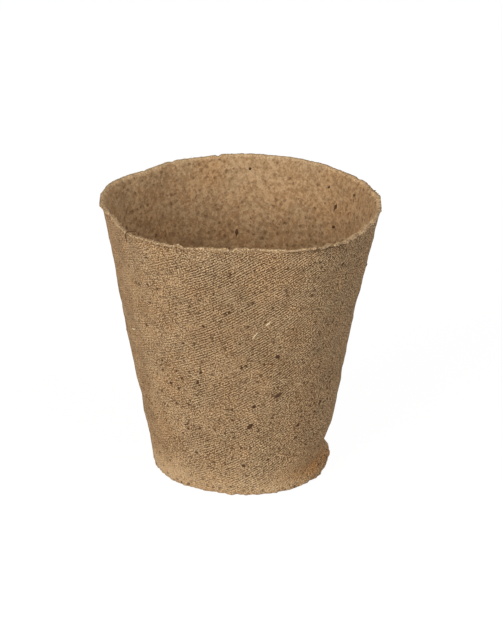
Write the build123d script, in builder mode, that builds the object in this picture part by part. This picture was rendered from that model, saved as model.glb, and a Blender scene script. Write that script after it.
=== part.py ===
from build123d import *

# A round peat pot: one thin wall of pressed peat and wood fibre, tapering down to a
# small foot, with bits of bark, wood and straw caught in it.
# Its origin is on the ground under the middle of the foot, with +Z up through the rim.
# The front faces -Y. Azimuths are in degrees from +X, anticlockwise seen from above,
# so the front is at 270. Lengths are in millimetres.

import os
from math import cos, pi, radians, sin, sqrt

os.makedirs("parts", exist_ok=True)

# Driving sizes of the wall
pot_height = 80.0
rim_radius = 38.6
foot_radius = 24.0
wall = 1.4
floor_thickness = 1.6
foot_corner = 0.8
floor_corner = 1.6

# How far the pot has drawn out of round in drying: at the rim, halfway up, and at the foot
rim_warp = 2.2
side_warp = 0.6
foot_warp = 0.8
foot_warp_height = 20.0

# The dent pressed into the wall above the foot, and the lip left standing out under it.
# The crease between them lies low along the front and rises at the right.
lip_reach = 1.6
dent_depth = 1.3
dent_height = 9.0
crease_low = 2.6
crease_rise = 4.4

# The rim: the wall thins towards it, it flares out into a rough fringe, and it rises and falls
rim_thickness = 1.0
thinning_height = 6.0
fringe_reach = 0.9
fringe_height = 1.0
rim_drop = 0.6

# The underside: a hollow inside the ring that the pot stands on, and one drain hole
foot_ring = 5.0
hollow_depth = 0.6
drain_diameter = 9.0

# Bits caught in the wall: how deep they sit, how far they stand out, and their largest sizes
bit_depth = 0.5
bit_proud = 0.15
crumb_size = 1.5
sliver_length = 2.8
sliver_width = 1.1
straw_length = 2.8
straw_width = 0.4

# The loose fibre that loops over the rim
fibre_diameter = 0.35
fibre_sides = 5
fibre_azimuth = 217
fibre_rise = 0.45
fibre_drop = 2.4

overrun = 5.0

# Swellings of the rim as azimuth, half width in degrees and share of rim_warp
rim_lobe_shares = [
    (305, 32, 1.00),
    (272, 22, -0.50),
    (228, 26, 0.50),
    (200, 20, -0.25),
    (165, 28, 0.40),
    (138, 22, -0.75),
    (85, 28, 0.25),
    (57, 16, 0.20),
    (350, 35, 0.25),
]

# Swellings halfway up as azimuth, half width in degrees and share of side_warp
side_lobe_shares = [(190, 60, 0.70), (350, 60, -1.00)]

# Swellings of the foot as azimuth, half width in degrees and share of foot_warp
foot_lobe_shares = [(240, 40, -0.80), (300, 50, 1.20)]

# Fringe along the rim as azimuth, half width in degrees and share of fringe_reach
fringe_shares = [
    (322, 45, 1.00),
    (6, 10, 0.60),
    (20, 30, 0.50),
    (75, 40, 0.50),
    (145, 35, 0.45),
    (181, 16, 1.00),
    (228, 40, 0.35),
]

# How far the rim lies below its highest point, as shares of rim_drop at its front and at
# its back, from left to right
rim_drop_shares = [(0.5, 0.4), (0.6, 0.2), (0.2, 0.4), (0.0, 0.1), (0.3, 0.0), (1.0, 0.2), (0.6, 0.5)]

# Levels of the wall's sections: shares of a corner's radius, of the crease's height and of
# the fringe, and how many even spans the straight wall between them has
corner_shares = [0.0, 0.3, 1.0]
crease_shares = [0.25, 0.42, 0.7, 1.0, 1.4, 1.9, 2.5]
fringe_level_shares = [0.0, 0.4, 0.7, 1.0]
straight_spans = 13
points_round = 48

# Crumbs of bark as azimuth, height as a share of the pot's, share of crumb_size and turn
outside_crumb_shares = [
    (317, 0.89, 0.65, 20),
    (253, 0.69, 0.55, 130),
    (271, 0.53, 0.55, 45),
    (231, 0.43, 0.55, 160),
    (248, 0.46, 0.60, 95),
    (278, 0.37, 0.65, 60),
    (276, 0.29, 1.00, 30),
    (322, 0.33, 0.75, 110),
    (306, 0.27, 0.65, 80),
    (273, 0.13, 0.55, 145),
    (289, 0.57, 0.85, 100),
]
inside_crumb_shares = [
    (39, 0.80, 0.60, 15),
    (46, 0.93, 0.45, 70),
    (130, 0.70, 0.60, 90),
    (250, 0.55, 0.70, 10),
]

# The back of the pot has crumbs spread evenly up and round it
back_crumbs = 7
back_start = 335
back_span = 240
back_turn = 50
back_step_share = 0.618
back_height_shares = (0.12, 0.9)
back_size_shares = (0.45, 0.7, 0.55, 0.8)

# Slivers of wood as azimuth, height share, shares of their length and width, and slope
outside_sliver_shares = [(291, 0.41, 1.00, 1.00, 35), (241, 0.36, 0.80, 0.45, -6), (75, 0.62, 0.9, 0.6, 50)]
inside_sliver_shares = [(40, 0.87, 0.75, 0.80, 70), (92, 0.72, 0.80, 1.00, 88)]

# Bits of straw as azimuth, height share, share of their length, and slope
straw_shares = [
    (277, 0.657, 1.00, 60),
    (283, 0.705, 1.00, 47),
    (205, 0.58, 0.70, 15),
    (15, 0.40, 0.90, 35),
    (110, 0.75, 1.00, 20),
    (150, 0.30, 0.80, 65),
]

# Outlines of the bits, as shares of their length and width
crumb_outline_shares = [(0.5, 0.1), (0.2, 0.45), (-0.3, 0.4), (-0.5, -0.1), (-0.15, -0.45), (0.35, -0.35)]
sliver_outline_shares = [(0.5, 0.1), (0.25, 0.45), (-0.2, 0.5), (-0.5, 0.05), (-0.3, -0.4), (0.3, -0.5)]
straw_outline_shares = [(0.5, -0.4), (0.47, 0.5), (-0.5, 0.4), (-0.46, -0.5)]


def lobe(azimuth, centre, half_width):
    """A smooth swelling round the pot: 1 at its centre, 0 from its half width on."""
    apart = abs((azimuth - centre + 180) % 360 - 180)
    return cos(radians(90 * apart / half_width)) ** 2 if apart < half_width else 0.0


def swell(level, centre, below, above):
    """A smooth swelling up the wall: 1 at its centre, 0 past its reach below and above."""
    apart = (centre - level) / below if level < centre else (level - centre) / above
    return cos(pi / 2 * apart) ** 2 if apart < 1 else 0.0


def lobes(shares, azimuth):
    """What all the swellings of one list come to at an azimuth."""
    return sum(share * lobe(azimuth, centre, spread) for centre, spread, share in shares)


def rounding(rise, radius):
    """How far a rounded corner draws in at a rise above its flat face."""
    return radius - sqrt(max(0.0, radius**2 - (radius - rise) ** 2)) if rise < radius else 0.0


def lip_and_dent(azimuth, level):
    crease = crease_low + crease_rise * lobe(azimuth, 8, 90)
    lip = lip_reach * lobe(azimuth, 350, 62) * swell(level, 0.42 * crease, crease, 0.58 * crease)
    dent = dent_depth * lobe(azimuth, 345, 75) * swell(level, crease, 0.5 * crease, dent_height)
    return lip - dent


def wall_radius(azimuth, level):
    """Outside radius of the pot without its fringe and its foot's rounded corner."""
    share = level / pot_height
    cone = foot_radius + (rim_radius - foot_radius) * share
    rim_part = rim_warp * share**3 * lobes(rim_lobe_shares, azimuth)
    side_part = side_warp * swell(share, 0.55, 0.32, 0.35) * lobes(side_lobe_shares, azimuth)
    foot_part = foot_warp * swell(level, 0, 1, foot_warp_height) * lobes(foot_lobe_shares, azimuth)
    return cone + rim_part + side_part + foot_part + lip_and_dent(azimuth, level)


def fringe(azimuth, level):
    """How far the rough fringe of the rim stands out."""
    rise = min(max(0.0, 1 - (pot_height - level) / fringe_height), 1.0)
    return fringe_reach * min(lobes(fringe_shares, azimuth), 1.0) * rise**2


def outer_radius(azimuth, level):
    return wall_radius(azimuth, level) + fringe(azimuth, level) - rounding(level, foot_corner)


def inner_radius(azimuth, level):
    """Inside radius of the pot, which follows the thinning of the wall and the flare of the rim."""
    thinning = (wall - rim_thickness) * max(0.0, 1 - (pot_height - level) / thinning_height)
    inside = wall_radius(azimuth, level) - wall + thinning + fringe(azimuth, level)
    return inside - rounding(level - floor_thickness, floor_corner)


def ring_points(radius_at, level):
    """Points round one level of the wall."""
    azimuths = [360 * step / points_round for step in range(points_round)]
    radii = [radius_at(azimuth, level) for azimuth in azimuths]
    return [(r * cos(radians(a)), r * sin(radians(a))) for a, r in zip(azimuths, radii)]


def wall_plane(azimuth, level, side, depth):
    """A plane that faces out of the wall (side 1) or into the pot (side -1), sunk by a depth."""
    radius = outer_radius(azimuth, level) if side > 0 else inner_radius(azimuth, level)
    out = Vector(cos(radians(azimuth)), sin(radians(azimuth)), 0)
    taper = (rim_radius - foot_radius) / pot_height
    facing = side * Vector(out.X, out.Y, -taper).normalized()
    along = Vector(-out.Y, out.X, 0) * side
    return Plane(origin=out * radius + Vector(0, 0, level), x_dir=along, z_dir=facing).offset(-depth)


def outline(shares, length, width):
    """Points of a bit's outline at its real length and width."""
    return [(length * along, width * across) for along, across in shares]


# Levels of the sections
crease_top = crease_low + crease_rise
bend_levels = [share * crease_top for share in crease_shares]
straight = pot_height - fringe_height - bend_levels[-1]
straight_levels = [bend_levels[-1] + straight * step / straight_spans for step in range(1, straight_spans)]
fringe_levels = [pot_height - fringe_height * (1 - share) for share in fringe_level_shares]
outer_levels = [share * foot_corner for share in corner_shares]
outer_levels += [z for z in bend_levels if z > foot_corner] + straight_levels + fringe_levels
inner_levels = [floor_thickness + share * floor_corner for share in corner_shares]
inner_levels += [z for z in bend_levels if z > inner_levels[-1]] + straight_levels
inner_levels += [fringe_levels[0], pot_height, pot_height + overrun]

# The pot's outside, the hollow inside it, and what is trimmed off the top of the rim
with BuildPart() as body:
    for level in outer_levels:
        with BuildSketch(Plane.XY.offset(level)):
            with BuildLine():
                Spline(*ring_points(outer_radius, level), periodic=True)
            make_face()
    loft(ruled=True)

with BuildPart() as inside:
    for level in inner_levels:
        with BuildSketch(Plane.XY.offset(level)):
            with BuildLine():
                Spline(*ring_points(inner_radius, level), periodic=True)
            make_face()
    loft(ruled=True)

reach = rim_radius + rim_warp + fringe_reach + overrun
with BuildPart() as trimming:
    for step, (front_share, back_share) in enumerate(rim_drop_shares):
        x = reach * (2 * step / (len(rim_drop_shares) - 1) - 1)
        front = pot_height - rim_drop * front_share
        back = pot_height - rim_drop * back_share
        top = pot_height + overrun
        with BuildSketch(Plane.YZ.offset(x)):
            Polygon((-reach, front), (reach, back), (reach, top), (-reach, top), align=None)
    loft(ruled=True)

# Bits caught in the wall
back_low, back_high = back_height_shares
back_shares = [
    (
        (back_start + back_span * (step * back_step_share % 1)) % 360,
        back_low + (back_high - back_low) * step / (back_crumbs - 1),
        back_size_shares[step % len(back_size_shares)],
        step * back_turn,
    )
    for step in range(back_crumbs)
]

with BuildPart() as bark_crumbs:
    crumbs = [(1, place) for place in outside_crumb_shares + back_shares]
    crumbs += [(-1, place) for place in inside_crumb_shares]
    for side, (azimuth, height_share, size_share, turn) in crumbs:
        size = crumb_size * size_share
        with BuildSketch(wall_plane(azimuth, height_share * pot_height, side, bit_depth)):
            with Locations(Rotation(0, 0, turn)):
                Polygon(*outline(crumb_outline_shares, size, size), align=None)
        extrude(amount=bit_depth + bit_proud)

with BuildPart() as wood_slivers:
    slivers = [(1, place) for place in outside_sliver_shares]
    slivers += [(-1, place) for place in inside_sliver_shares]
    for side, (azimuth, height_share, length_share, width_share, slope) in slivers:
        length = sliver_length * length_share
        width = sliver_width * width_share
        with BuildSketch(wall_plane(azimuth, height_share * pot_height, side, bit_depth)):
            with Locations(Rotation(0, 0, slope)):
                Polygon(*outline(sliver_outline_shares, length, width), align=None)
        extrude(amount=bit_depth + bit_proud)

with BuildPart() as straw_bits:
    for azimuth, height_share, length_share, slope in straw_shares:
        length = straw_length * length_share
        with BuildSketch(wall_plane(azimuth, height_share * pot_height, 1, bit_depth)):
            with Locations(Rotation(0, 0, slope)):
                Polygon(*outline(straw_outline_shares, length, straw_width), align=None)
        extrude(amount=bit_depth + bit_proud)

# The fibre leaves the outside of the wall, stands over the rim and ends in its top
fibre_out = Vector(cos(radians(fibre_azimuth)), sin(radians(fibre_azimuth)), 0)
fibre_side = Plane(origin=(0, 0, 0), x_dir=fibre_out, z_dir=fibre_out.cross(Vector(0, 0, 1)))
rim_outside = outer_radius(fibre_azimuth, pot_height)
fibre_low = pot_height - fibre_drop
fibre_top = pot_height - rim_drop + fibre_rise
with BuildPart() as rim_fibre:
    with BuildLine(fibre_side) as fibre_path:
        FilletPolyline(
            (wall_radius(fibre_azimuth, fibre_low) - bit_depth, fibre_low),
            (rim_outside + fibre_diameter, fibre_low),
            (rim_outside + fibre_diameter, fibre_top),
            (rim_outside - rim_thickness / 2, fibre_top),
            (rim_outside - rim_thickness / 2, pot_height - rim_drop - bit_depth),
            radius=fibre_diameter,
        )
    with BuildSketch(Plane(origin=fibre_path.line @ 0, z_dir=fibre_path.line % 0)):
        RegularPolygon(fibre_diameter / 2, fibre_sides)
    sweep()

# The pot is the outside less the inside, with its foot, its drain and a seat for each bit
with BuildPart() as pot:
    add(body.part)
    add(inside.part, mode=Mode.SUBTRACT)
    add(trimming.part, mode=Mode.SUBTRACT)
    with BuildSketch(Plane.XY.offset(floor_thickness)):
        Circle(foot_radius - foot_ring)
    extrude(amount=hollow_depth, taper=45)
    with BuildSketch():
        Circle(foot_radius - foot_ring)
    extrude(amount=hollow_depth, taper=45, mode=Mode.SUBTRACT)
    with Locations((0, 0, floor_thickness + hollow_depth)):
        Hole(drain_diameter / 2)
    for bits in (bark_crumbs, wood_slivers, straw_bits, rim_fibre):
        add(bits.part, mode=Mode.SUBTRACT)

pot.part.label = "pot"
export_step(pot.part, "parts/pot.step")
bark_crumbs.part.label = "bark_crumbs"
export_step(bark_crumbs.part, "parts/bark_crumbs.step")
wood_slivers.part.label = "wood_slivers"
export_step(wood_slivers.part, "parts/wood_slivers.step")
straw_bits.part.label = "straw_bits"
export_step(straw_bits.part, "parts/straw_bits.step")
rim_fibre.part.label = "rim_fibre"
export_step(rim_fibre.part, "parts/rim_fibre.step")
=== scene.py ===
import random
from math import atan2, cos, hypot, pi, radians, sin

import bpy
import numpy as np
from bpy.props import FloatProperty, FloatVectorProperty, IntProperty, PointerProperty
from bpy.types import Operator, Panel, PropertyGroup
from mathutils import Matrix, Vector, noise
from mathutils.bvhtree import BVHTree


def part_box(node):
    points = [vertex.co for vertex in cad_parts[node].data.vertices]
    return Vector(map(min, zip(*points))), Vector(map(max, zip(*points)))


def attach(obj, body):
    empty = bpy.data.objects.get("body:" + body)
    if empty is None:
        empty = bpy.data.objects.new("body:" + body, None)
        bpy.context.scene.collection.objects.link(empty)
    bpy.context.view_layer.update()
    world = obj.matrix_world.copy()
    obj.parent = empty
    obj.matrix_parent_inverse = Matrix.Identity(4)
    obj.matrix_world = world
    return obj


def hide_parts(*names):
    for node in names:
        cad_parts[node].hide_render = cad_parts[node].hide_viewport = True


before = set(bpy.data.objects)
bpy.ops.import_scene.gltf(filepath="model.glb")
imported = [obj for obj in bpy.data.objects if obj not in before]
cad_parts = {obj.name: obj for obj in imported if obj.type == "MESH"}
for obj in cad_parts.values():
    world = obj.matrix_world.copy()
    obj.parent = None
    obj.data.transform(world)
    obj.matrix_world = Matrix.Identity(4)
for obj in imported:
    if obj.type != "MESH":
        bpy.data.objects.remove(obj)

bl_info = {
    "name": "Peat Pot",
    "version": (1, 0, 0),
    "blender": (4, 5, 0),
    "location": "3D View > Sidebar > Peat Pot",
    "description": "Dresses a packed peat pot: its pressed wall, the bits caught in it, and a plain stage",
    "category": "Object",
}

# Azimuths are in degrees from +X, anticlockwise seen from above, so the front is at 270.
# Lengths are in metres, and the formulas of the wall work in millimetres.
MM = 0.001
BODY = "root"
POT_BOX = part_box("pot")

# The cloth is laid out flat with its seam at this azimuth, and with the inside and the floor apart
# from the outside by these distances in millimetres
CLOTH_SEAM = 90
INSIDE_APART = 260.0
FLOOR_APART = 520.0

# Edges sharper than these angles stay sharp, on the pulp and the fibres and on the bits
PULP_EDGES = 60
BIT_EDGES = 40

# Swellings of the wall: azimuth, half width in degrees, and share of the warp
RIM_LOBES = (
    (305, 32, 1.00),
    (272, 22, -0.50),
    (228, 26, 0.50),
    (200, 20, -0.25),
    (165, 28, 0.40),
    (138, 22, -0.75),
    (85, 28, 0.25),
    (57, 16, 0.20),
    (350, 35, 0.25),
)
SIDE_LOBES = ((190, 60, 0.70), (350, 60, -1.00))
FOOT_LOBES = ((240, 40, -0.80), (300, 50, 1.20))

# The rough fringe of the rim: azimuth, half width and share of its reach
FRINGE_LOBES = (
    (322, 45, 1.00),
    (6, 10, 0.60),
    (20, 30, 0.50),
    (75, 40, 0.50),
    (145, 35, 0.45),
    (181, 16, 1.00),
    (228, 40, 0.35),
)

# How far the rim lies below its top, at its front and at its back, from left to right
RIM_DROPS = ((0.5, 0.4), (0.6, 0.2), (0.2, 0.4), (0.0, 0.1), (0.3, 0.0), (1.0, 0.2), (0.6, 0.5))

# Nicks torn out of the rim: azimuth, half width in degrees and depth in millimetres
RIM_NICKS = (
    (138, 1.6, 0.35),
    (121, 1.2, 0.30),
    (100, 1.5, 0.45),
    (31, 1.6, 0.35),
    (23, 1.3, 0.40),
    (11, 1.2, 0.35),
    (266, 2.0, 0.50),
    (259, 1.0, 0.30),
    (247, 1.4, 0.25),
    (221, 1.5, 0.35),
    (302, 1.2, 0.20),
    (60, 1.0, 0.20),
)

# Crumbs of bark: azimuth, height as a share of the pot's, size in millimetres, and turn
OUTSIDE_CRUMBS = (
    (317, 0.89, 0.95, 20),
    (265, 0.75, 0.75, 75),
    (253, 0.69, 0.80, 130),
    (266, 0.90, 0.60, 0),
    (271, 0.53, 0.80, 45),
    (231, 0.43, 0.80, 160),
    (248, 0.46, 0.90, 95),
    (250, 0.50, 0.75, 10),
    (278, 0.37, 0.95, 60),
    (276, 0.29, 1.40, 30),
    (322, 0.33, 1.10, 110),
    (318, 0.30, 0.75, 0),
    (306, 0.27, 0.95, 80),
    (273, 0.13, 0.80, 145),
    (288, 0.15, 0.75, 25),
    (289, 0.57, 1.20, 100),
)
INSIDE_CRUMBS = (
    (39, 0.80, 0.90, 15),
    (46, 0.93, 0.70, 70),
    (28, 0.94, 0.70, 120),
    (86, 0.95, 0.70, 40),
    (130, 0.70, 0.90, 90),
    (250, 0.55, 1.00, 10),
)

# Crumbs on the back, spread by a rule: count, first azimuth and span, height shares and sizes
BACK_CRUMBS = 7
BACK_START = 335
BACK_SPAN = 240
BACK_SHARES = (0.12, 0.9)
BACK_SIZE = 1.5
BACK_SIZE_SHARES = (0.45, 0.7, 0.55, 0.8)
GOLDEN_SHARE = 0.618

# Slivers of wood: azimuth, height share, length and width in millimetres, and slope
OUTSIDE_SLIVERS = ((291, 0.41, 2.8, 1.1, 35), (241, 0.36, 2.2, 0.5, -6), (75, 0.62, 2.5, 0.7, 50))
INSIDE_SLIVERS = ((40, 0.87, 2.5, 1.3, 72), (92, 0.72, 2.5, 1.2, 88))

# Bits of straw: azimuth, height share, length in millimetres, and slope
STRAWS = (
    (277, 0.657, 2.8, 60),
    (283, 0.705, 1.7, 47),
    (205, 0.58, 2.0, 15),
    (15, 0.40, 2.5, 35),
    (110, 0.75, 2.8, 20),
    (150, 0.30, 2.2, 65),
)

# Thickness of the bits and how deep they are sunk, in millimetres
CRUMB_THICKNESS = 0.55
CRUMB_SUNK = 0.06
SLIVER_THICKNESS = 0.45
SLIVER_SUNK = 0.08
STRAW_THICKNESS = 0.34
STRAW_SUNK = 0.05
STRAW_POINTS = 6

# Small crumbs, tufts and hairs: how many, and where the crumbs stop and the tufts grow thin
SMALL_CRUMBS = 120
LOWEST_INSIDE = 4.0
CRUMBS_BELOW_RIM = 2.5
TUFTS = 620
FAR_RIM = (20, 170)
HAIRS = 240
HAIR_ROOT = 0.05

# A hair's points, as shares of its length, its sway and its lift
HAIR_SHARES = ((0.35, 0.25, 0.8), (0.7, 0.6, 1.0), (1.0, 1.0, 0.4))

# The loose fibre: its azimuth, the azimuth at which the rim is read for it, its gap and thickness in
# millimetres, and its points, out of the rim, along it and above its top
LOOP_AZIMUTH = 219
LOOP_READ_AT = 217.0
LOOP_OFF_WALL = 0.1
LOOP_THICKNESS = 0.34
LOOP_STEPS = (
    (0.35, -0.3, -3.4),
    (0.7, -0.4, -2.2),
    (0.9, -0.3, -1.0),
    (0.5, 0.0, -0.18),
    (-0.6, 0.5, -0.18),
    (-2.0, 0.9, -0.5),
)

# Roughness of the wall: fineness per millimetre, seed, and height in millimetres or as a share
RIM_RAGS = ((0.30, 1, 1.2), (0.75, 2, 1.0), (1.6, 3, 0.3))
WALL_LUMPS = ((0.16, 4, 0.40), (0.45, 5, 0.12), (1.0, 6, 0.05))
FOOT_LUMPS = ((0.9, 10, 0.7), (0.35, 14, 0.6))

# Marks in the outside: azimuth, half width, level, reach below and above it, and depth
OUTSIDE_MARKS = (
    (239.5, 1.6, 26.0, 14.0, 20.0, 0.10),
    (241.6, 1.4, 21.5, 2.6, 2.6, 0.22),
    (287.0, 2.2, 10.5, 1.4, 1.4, 0.25),
)


def length_property(name, description, default):
    return FloatProperty(name=name, description=description, default=default, unit="LENGTH")


def colour_property(name, description, default):
    return FloatVectorProperty(name=name, description=description, default=default, subtype="COLOR", size=3)


class PeatPotSizes(PropertyGroup):
    """Sizes of the pot's wall."""

    height: length_property("Height", "Height of the pot", 0.080)
    rim_radius: length_property("Rim Radius", "Outside radius at the rim", 0.0386)
    foot_radius: length_property("Foot Radius", "Outside radius at the foot", 0.024)
    thickness: length_property("Thickness", "Thickness of the wall", 0.0014)
    floor: length_property("Floor", "Thickness of the floor", 0.0016)
    foot_ring: length_property("Foot Ring", "Width of the ring that the pot stands on", 0.005)
    hollow: length_property("Hollow", "Depth of the underside's hollow", 0.0006)
    drain_radius: length_property("Drain Radius", "Radius of the drain hole", 0.0045)
    columns: IntProperty(name="Columns", description="Faces round the wall", default=512, min=48, max=512)


class PeatPotFinish(PropertyGroup):
    """Colours and texture of the pulp and of the bits in it."""

    pulp: colour_property("Pulp", "Colour of the dry pulp", (0.375, 0.230, 0.114))
    # Dark Pulp also paints the shade in the pits
    pulp_dark: colour_property("Dark Pulp", "Colour of the pulp's pits and blotches", (0.122, 0.061, 0.024))
    pulp_pale: colour_property("Pale Pulp", "Colour of the fibres that stand out", (0.770, 0.545, 0.315))
    speck: colour_property("Specks", "Colour of the fine specks in the pulp", (0.072, 0.032, 0.012))
    bark: colour_property("Bark", "Colour of the crumbs of bark", (0.058, 0.027, 0.011))
    straw: colour_property("Straw", "Colour of the bits of straw", (0.82, 0.66, 0.42))
    wire_across: length_property("Wires Across", "Spacing of the cloth's marks across their slope", 0.00070)
    wire_along: length_property("Wires Along", "Spacing of the cloth's marks along their slope", 0.000742)
    wire_slope: FloatProperty(
        name="Wire Slope", description="Slope of the cloth's ridges", default=radians(30.6), subtype="ANGLE"
    )


def lobe(azimuth, centre, half_width):
    """A smooth swelling round the pot: 1 at its centre, 0 from its half width on."""
    apart = np.abs((azimuth - centre + 180) % 360 - 180)
    return np.where(apart < half_width, np.cos(np.radians(90 * apart / half_width)) ** 2, 0.0)


def lobes(table, azimuth):
    return sum(share * lobe(azimuth, centre, spread) for centre, spread, share in table)


def swell(level, centre, below, above):
    """A smooth swelling up the wall: 1 at its centre, 0 past its reach below and above."""
    apart = np.where(level < centre, (centre - level) / below, (level - centre) / above)
    return np.where(apart < 1, np.cos(pi / 2 * np.clip(apart, 0, 1)) ** 2, 0.0)


def ease(value, low, high):
    """0 below low, 1 above high, and smooth between them."""
    share = np.clip((value - low) / (high - low), 0, 1)
    return share * share * (3 - 2 * share)


def rounding(rise, radius):
    """How far a rounded corner draws in at a rise above its flat face."""
    rise = np.clip(rise, 0, radius)
    return radius - np.sqrt(np.maximum(0.0, radius**2 - (radius - rise) ** 2))


class Wall:
    """The pot's wall as formulas in millimetres."""

    rim_warp = 2.2
    side_warp = 0.6
    foot_warp = 0.8
    foot_warp_height = 20.0
    lip_reach = 1.6
    dent_depth = 1.3
    dent_height = 9.0
    crease_low = 2.6
    crease_rise = 4.4
    fringe_reach = 0.9
    fringe_height = 1.0
    rim_thickness = 1.0
    thinning_height = 6.0
    rim_drop = 0.6
    flange_least = 0.12
    torn_height = 2.0
    kink_depth = 0.34
    kink_azimuth = 305
    foot_tuck = 0.5
    foot_tuck_height = 1.6
    foot_corner = 0.8
    floor_corner = 1.6

    def __init__(self, sizes):
        self.height = sizes.height / MM
        self.rim_radius = sizes.rim_radius / MM
        self.foot_radius = sizes.foot_radius / MM
        self.thickness = sizes.thickness / MM
        self.floor = sizes.floor / MM
        self.foot_ring = sizes.foot_ring / MM
        self.hollow = sizes.hollow / MM
        self.drain_radius = sizes.drain_radius / MM
        self.columns = sizes.columns
        self.taper = (self.rim_radius - self.foot_radius) / self.height
        self.slope = atan2(self.rim_radius - self.foot_radius, self.height)

    def cone(self, level):
        return self.foot_radius + self.taper * level

    def lip_and_dent(self, azimuth, level):
        crease = self.crease_low + self.crease_rise * lobe(azimuth, 8, 90)
        lip = self.lip_reach * lobe(azimuth, 350, 62) * swell(level, 0.42 * crease, crease, 0.58 * crease)
        dent = self.dent_depth * lobe(azimuth, 345, 75) * swell(level, crease, 0.5 * crease, self.dent_height)
        return lip - dent

    def shift(self, azimuth, level):
        """How far the wall stands out of a true cone."""
        share = level / self.height
        rim_part = self.rim_warp * share**3 * lobes(RIM_LOBES, azimuth)
        side_part = self.side_warp * swell(share, 0.55, 0.32, 0.35) * lobes(SIDE_LOBES, azimuth)
        foot_part = self.foot_warp * swell(level, 0, 1, self.foot_warp_height) * lobes(FOOT_LOBES, azimuth)
        return rim_part + side_part + foot_part + self.lip_and_dent(azimuth, level)

    def fringe(self, azimuth):
        return self.fringe_reach * np.minimum(lobes(FRINGE_LOBES, azimuth), 1.0)

    def thinning(self, level):
        """How much thinner the wall is near the rim."""
        share = np.clip(1 - (self.height - level) / self.thinning_height, 0, 1)
        return (self.thickness - self.rim_thickness) * share

    def drop(self, x, y):
        """How far the rim lies below the pot's height at a place."""
        reach = self.rim_radius + self.rim_warp + self.fringe_reach + 5.0
        across = np.linspace(-reach, reach, len(RIM_DROPS))
        front = np.interp(x, across, [share[0] for share in RIM_DROPS])
        back = np.interp(x, across, [share[1] for share in RIM_DROPS])
        depth = (y + reach) / (2 * reach)
        return self.rim_drop * (front + (back - front) * depth)


def settings_of(context):
    return Wall(context.scene.peat_pot_sizes), context.scene.peat_pot_finish


def select_nothing():
    if bpy.context.object and bpy.context.object.mode != "OBJECT":
        bpy.ops.object.mode_set(mode="OBJECT")
    bpy.ops.object.select_all(action="DESELECT")


def make_active(piece):
    select_nothing()
    piece.select_set(True)
    bpy.context.view_layer.objects.active = piece


def points_of(mesh):
    points = np.empty(len(mesh.vertices) * 3, np.float64)
    mesh.vertices.foreach_get("co", points)
    return points.reshape(-1, 3)


def set_points(mesh, points):
    mesh.vertices.foreach_set("co", points.astype(np.float32).ravel())
    mesh.update()


def join_pieces(pieces, name):
    """One piece of several, with its place in its mesh."""
    select_nothing()
    for piece in pieces:
        piece.select_set(True)
    bpy.context.view_layer.objects.active = pieces[0]
    if len(pieces) > 1:
        bpy.ops.object.join()
    joined = bpy.context.object
    bpy.ops.object.transform_apply(location=True, rotation=True, scale=True)
    joined.name = name
    joined.data.name = name
    return joined


def finish_piece(piece, node, material, sharpest):
    """Smooths a piece up to its sharpest angle, gives it its material and ties it to the frame."""
    make_active(piece)
    bpy.ops.object.shade_smooth_by_angle(angle=radians(sharpest))
    piece.data.materials.clear()
    piece.data.materials.append(material)
    if node:
        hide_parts(node)
    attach(piece, BODY)


def shaded(colour, share):
    """A colour made darker or paler by a share of itself."""
    return tuple(min(1.0, value * share) for value in colour)


def plug(tree, socket, value):
    """Joins a socket to another, or sets it to a value."""
    if isinstance(value, bpy.types.NodeSocket):
        tree.links.new(value, socket)
    else:
        socket.default_value = value


def add_node(tree, kind, values=None, **settings):
    node = tree.nodes.new(kind)
    for name, value in settings.items():
        setattr(node, name, value)
    for name, value in (values or {}).items():
        plug(tree, node.inputs[name], value)
    return node


def calc(tree, operation, *values):
    node = tree.nodes.new("ShaderNodeMath")
    node.operation = operation
    for socket, value in zip(node.inputs, values):
        plug(tree, socket, value)
    return node.outputs[0]


def wave(tree, place, turn):
    return calc(tree, "COSINE", calc(tree, "MULTIPLY", place, turn))


def fit(tree, value, low, high, to_low=0.0, to_high=1.0):
    """Maps low to high onto another range, smoothly and clamped."""
    values = {"Value": value, "From Min": low, "From Max": high, "To Min": to_low, "To Max": to_high}
    return add_node(tree, "ShaderNodeMapRange", values, interpolation_type="SMOOTHSTEP").outputs["Result"]


def mix_colours(tree, factor, first, second, blend="MIX"):
    node = add_node(tree, "ShaderNodeMix", data_type="RGBA", blend_type=blend)
    plug(tree, node.inputs[0], factor)
    for index, colour in ((6, first), (7, second)):
        if not isinstance(colour, bpy.types.NodeSocket):
            colour = (*tuple(colour)[:3], 1.0)
        plug(tree, node.inputs[index], colour)
    return node.outputs[2]


def noise_at(tree, vector, scale, detail=2.0, roughness=0.5, distortion=0.0):
    values = {"Vector": vector, "Scale": scale, "Detail": detail, "Roughness": roughness}
    return add_node(tree, "ShaderNodeTexNoise", {**values, "Distortion": distortion})


def place_vector(tree, vector, offset=(0, 0, 0), turn=0.0, scale=(1, 1, 1)):
    values = {"Vector": vector, "Location": offset, "Rotation": (0, 0, turn), "Scale": scale}
    return add_node(tree, "ShaderNodeMapping", values).outputs["Vector"]


def new_group(name, values, results):
    """A node group that takes a vector and numbers and gives back numbers, with its two ends."""
    group = bpy.data.node_groups.new(name, "ShaderNodeTree")
    group.interface.new_socket("Vector", in_out="INPUT", socket_type="NodeSocketVector")
    for label, value in values.items():
        socket = group.interface.new_socket(label, in_out="INPUT", socket_type="NodeSocketFloat")
        socket.default_value = value
    for label in results:
        group.interface.new_socket(label, in_out="OUTPUT", socket_type="NodeSocketFloat")
    start = group.nodes.new("NodeGroupInput")
    end = group.nodes.new("NodeGroupOutput")
    return group, start.outputs, end.inputs


def use_group(tree, name, values):
    node = add_node(tree, "ShaderNodeGroup", node_tree=bpy.data.node_groups[name])
    for label, value in values.items():
        plug(tree, node.inputs[label], value)
    return node.outputs


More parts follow.
